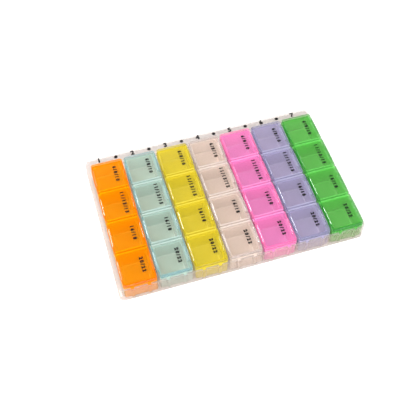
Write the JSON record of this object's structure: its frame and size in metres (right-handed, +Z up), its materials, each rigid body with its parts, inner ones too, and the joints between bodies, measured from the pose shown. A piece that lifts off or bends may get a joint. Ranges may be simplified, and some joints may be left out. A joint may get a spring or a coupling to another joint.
{
  "type": "weekly pill organizer",
  "caption": "Flat tray holding a lift-out pill box for each day of the week, each a row of compartments with hinged snap lids.",
  "frame": {"origin": "centre of the tray's underside, on the surface that it stands on", "axes": "+X along the week from the first day to the last, +Y from the front wall to the wide ledge with the day marks, +Z up"},
  "size_m": [0.2152, 0.1386, 0.0206],
  "materials": {
    "tray_frosted": "frosted, slightly pink clear moulded plastic, satin",
    "day_orange": "glossy translucent orange moulded plastic",
    "day_teal": "glossy translucent teal moulded plastic",
    "day_yellow": "glossy translucent yellow moulded plastic",
    "day_clear": "glossy translucent uncoloured moulded plastic",
    "day_pink": "glossy translucent pink moulded plastic",
    "day_lavender": "glossy translucent lavender moulded plastic",
    "day_green": "glossy translucent green moulded plastic"
  },
  "bodies": {
    "tray": {"tray": "tray_frosted"},
    "day_1_box": {"day_1_box": "day_orange"},
    "day_1_lid_1": {"day_1_lid_1": "day_orange"},
    "day_1_lid_2": {"day_1_lid_2": "day_orange"},
    "day_1_lid_3": {"day_1_lid_3": "day_orange"},
    "day_1_lid_4": {"day_1_lid_4": "day_orange"},
    "day_2_box": {"day_2_box": "day_teal"},
    "day_2_lid_1": {"day_2_lid_1": "day_teal"},
    "day_2_lid_2": {"day_2_lid_2": "day_teal"},
    "day_2_lid_3": {"day_2_lid_3": "day_teal"},
    "day_2_lid_4": {"day_2_lid_4": "day_teal"},
    "day_3_box": {"day_3_box": "day_yellow"},
    "day_3_lid_1": {"day_3_lid_1": "day_yellow"},
    "day_3_lid_2": {"day_3_lid_2": "day_yellow"},
    "day_3_lid_3": {"day_3_lid_3": "day_yellow"},
    "day_3_lid_4": {"day_3_lid_4": "day_yellow"},
    "day_4_box": {"day_4_box": "day_clear"},
    "day_4_lid_1": {"day_4_lid_1": "day_clear"},
    "day_4_lid_2": {"day_4_lid_2": "day_clear"},
    "day_4_lid_3": {"day_4_lid_3": "day_clear"},
    "day_4_lid_4": {"day_4_lid_4": "day_clear"},
    "day_5_box": {"day_5_box": "day_pink"},
    "day_5_lid_1": {"day_5_lid_1": "day_pink"},
    "day_5_lid_2": {"day_5_lid_2": "day_pink"},
    "day_5_lid_3": {"day_5_lid_3": "day_pink"},
    "day_5_lid_4": {"day_5_lid_4": "day_pink"},
    "day_6_box": {"day_6_box": "day_lavender"},
    "day_6_lid_1": {"day_6_lid_1": "day_lavender"},
    "day_6_lid_2": {"day_6_lid_2": "day_lavender"},
    "day_6_lid_3": {"day_6_lid_3": "day_lavender"},
    "day_6_lid_4": {"day_6_lid_4": "day_lavender"},
    "day_7_box": {"day_7_box": "day_green"},
    "day_7_lid_1": {"day_7_lid_1": "day_green"},
    "day_7_lid_2": {"day_7_lid_2": "day_green"},
    "day_7_lid_3": {"day_7_lid_3": "day_green"},
    "day_7_lid_4": {"day_7_lid_4": "day_green"}
  },
  "joints": [
    {"name": "day_1_lift", "type": "slide", "parent": "tray", "child": "day_1_box", "axis": [0, 0, 1], "range_m": [0, 0.04]},
    {"name": "day_1_lid_1_hinge", "type": "hinge", "parent": "day_1_box", "child": "day_1_lid_1", "pos_m": [-0.07535, 0.04365, 0.0198], "axis": [0, 1, 0], "range_deg": [0, 105]},
    {"name": "day_1_lid_2_hinge", "type": "hinge", "parent": "day_1_box", "child": "day_1_lid_2", "pos_m": [-0.07535, 0.01175, 0.0198], "axis": [0, 1, 0], "range_deg": [0, 105]},
    {"name": "day_1_lid_3_hinge", "type": "hinge", "parent": "day_1_box", "child": "day_1_lid_3", "pos_m": [-0.07535, -0.02015, 0.0198], "axis": [0, 1, 0], "range_deg": [0, 105]},
    {"name": "day_1_lid_4_hinge", "type": "hinge", "parent": "day_1_box", "child": "day_1_lid_4", "pos_m": [-0.07535, -0.05205, 0.0198], "axis": [0, 1, 0], "range_deg": [0, 105]},
    {"name": "day_2_lift", "type": "slide", "parent": "tray", "child": "day_2_box", "axis": [0, 0, 1], "range_m": [0, 0.04]},
    {"name": "day_2_lid_1_hinge", "type": "hinge", "parent": "day_2_box", "child": "day_2_lid_1", "pos_m": [-0.04535, 0.04365, 0.0198], "axis": [0, 1, 0], "range_deg": [0, 105]},
    {"name": "day_2_lid_2_hinge", "type": "hinge", "parent": "day_2_box", "child": "day_2_lid_2", "pos_m": [-0.04535, 0.01175, 0.0198], "axis": [0, 1, 0], "range_deg": [0, 105]},
    {"name": "day_2_lid_3_hinge", "type": "hinge", "parent": "day_2_box", "child": "day_2_lid_3", "pos_m": [-0.04535, -0.02015, 0.0198], "axis": [0, 1, 0], "range_deg": [0, 105]},
    {"name": "day_2_lid_4_hinge", "type": "hinge", "parent": "day_2_box", "child": "day_2_lid_4", "pos_m": [-0.04535, -0.05205, 0.0198], "axis": [0, 1, 0], "range_deg": [0, 105]},
    {"name": "day_3_lift", "type": "slide", "parent": "tray", "child": "day_3_box", "axis": [0, 0, 1], "range_m": [0, 0.04]},
    {"name": "day_3_lid_1_hinge", "type": "hinge", "parent": "day_3_box", "child": "day_3_lid_1", "pos_m": [-0.01535, 0.04365, 0.0198], "axis": [0, 1, 0], "range_deg": [0, 105]},
    {"name": "day_3_lid_2_hinge", "type": "hinge", "parent": "day_3_box", "child": "day_3_lid_2", "pos_m": [-0.01535, 0.01175, 0.0198], "axis": [0, 1, 0], "range_deg": [0, 105]},
    {"name": "day_3_lid_3_hinge", "type": "hinge", "parent": "day_3_box", "child": "day_3_lid_3", "pos_m": [-0.01535, -0.02015, 0.0198], "axis": [0, 1, 0], "range_deg": [0, 105]},
    {"name": "day_3_lid_4_hinge", "type": "hinge", "parent": "day_3_box", "child": "day_3_lid_4", "pos_m": [-0.01535, -0.05205, 0.0198], "axis": [0, 1, 0], "range_deg": [0, 105]},
    {"name": "day_4_lift", "type": "slide", "parent": "tray", "child": "day_4_box", "axis": [0, 0, 1], "range_m": [0, 0.04]},
    {"name": "day_4_lid_1_hinge", "type": "hinge", "parent": "day_4_box", "child": "day_4_lid_1", "pos_m": [0.01465, 0.04365, 0.0198], "axis": [0, 1, 0], "range_deg": [0, 105]},
    {"name": "day_4_lid_2_hinge", "type": "hinge", "parent": "day_4_box", "child": "day_4_lid_2", "pos_m": [0.01465, 0.01175, 0.0198], "axis": [0, 1, 0], "range_deg": [0, 105]},
    {"name": "day_4_lid_3_hinge", "type": "hinge", "parent": "day_4_box", "child": "day_4_lid_3", "pos_m": [0.01465, -0.02015, 0.0198], "axis": [0, 1, 0], "range_deg": [0, 105]},
    {"name": "day_4_lid_4_hinge", "type": "hinge", "parent": "day_4_box", "child": "day_4_lid_4", "pos_m": [0.01465, -0.05205, 0.0198], "axis": [0, 1, 0], "range_deg": [0, 105]},
    {"name": "day_5_lift", "type": "slide", "parent": "tray", "child": "day_5_box", "axis": [0, 0, 1], "range_m": [0, 0.04]},
    {"name": "day_5_lid_1_hinge", "type": "hinge", "parent": "day_5_box", "child": "day_5_lid_1", "pos_m": [0.04465, 0.04365, 0.0198], "axis": [0, 1, 0], "range_deg": [0, 105]},
    {"name": "day_5_lid_2_hinge", "type": "hinge", "parent": "day_5_box", "child": "day_5_lid_2", "pos_m": [0.04465, 0.01175, 0.0198], "axis": [0, 1, 0], "range_deg": [0, 105]},
    {"name": "day_5_lid_3_hinge", "type": "hinge", "parent": "day_5_box", "child": "day_5_lid_3", "pos_m": [0.04465, -0.02015, 0.0198], "axis": [0, 1, 0], "range_deg": [0, 105]},
    {"name": "day_5_lid_4_hinge", "type": "hinge", "parent": "day_5_box", "child": "day_5_lid_4", "pos_m": [0.04465, -0.05205, 0.0198], "axis": [0, 1, 0], "range_deg": [0, 105]},
    {"name": "day_6_lift", "type": "slide", "parent": "tray", "child": "day_6_box", "axis": [0, 0, 1], "range_m": [0, 0.04]},
    {"name": "day_6_lid_1_hinge", "type": "hinge", "parent": "day_6_box", "child": "day_6_lid_1", "pos_m": [0.07465, 0.04365, 0.0198], "axis": [0, 1, 0], "range_deg": [0, 105]},
    {"name": "day_6_lid_2_hinge", "type": "hinge", "parent": "day_6_box", "child": "day_6_lid_2", "pos_m": [0.07465, 0.01175, 0.0198], "axis": [0, 1, 0], "range_deg": [0, 105]},
    {"name": "day_6_lid_3_hinge", "type": "hinge", "parent": "day_6_box", "child": "day_6_lid_3", "pos_m": [0.07465, -0.02015, 0.0198], "axis": [0, 1, 0], "range_deg": [0, 105]},
    {"name": "day_6_lid_4_hinge", "type": "hinge", "parent": "day_6_box", "child": "day_6_lid_4", "pos_m": [0.07465, -0.05205, 0.0198], "axis": [0, 1, 0], "range_deg": [0, 105]},
    {"name": "day_7_lift", "type": "slide", "parent": "tray", "child": "day_7_box", "axis": [0, 0, 1], "range_m": [0, 0.04]},
    {"name": "day_7_lid_1_hinge", "type": "hinge", "parent": "day_7_box", "child": "day_7_lid_1", "pos_m": [0.10465, 0.04365, 0.0198], "axis": [0, 1, 0], "range_deg": [0, 105]},
    {"name": "day_7_lid_2_hinge", "type": "hinge", "parent": "day_7_box", "child": "day_7_lid_2", "pos_m": [0.10465, 0.01175, 0.0198], "axis": [0, 1, 0], "range_deg": [0, 105]},
    {"name": "day_7_lid_3_hinge", "type": "hinge", "parent": "day_7_box", "child": "day_7_lid_3", "pos_m": [0.10465, -0.02015, 0.0198], "axis": [0, 1, 0], "range_deg": [0, 105]},
    {"name": "day_7_lid_4_hinge", "type": "hinge", "parent": "day_7_box", "child": "day_7_lid_4", "pos_m": [0.10465, -0.05205, 0.0198], "axis": [0, 1, 0], "range_deg": [0, 105]}
  ]
}
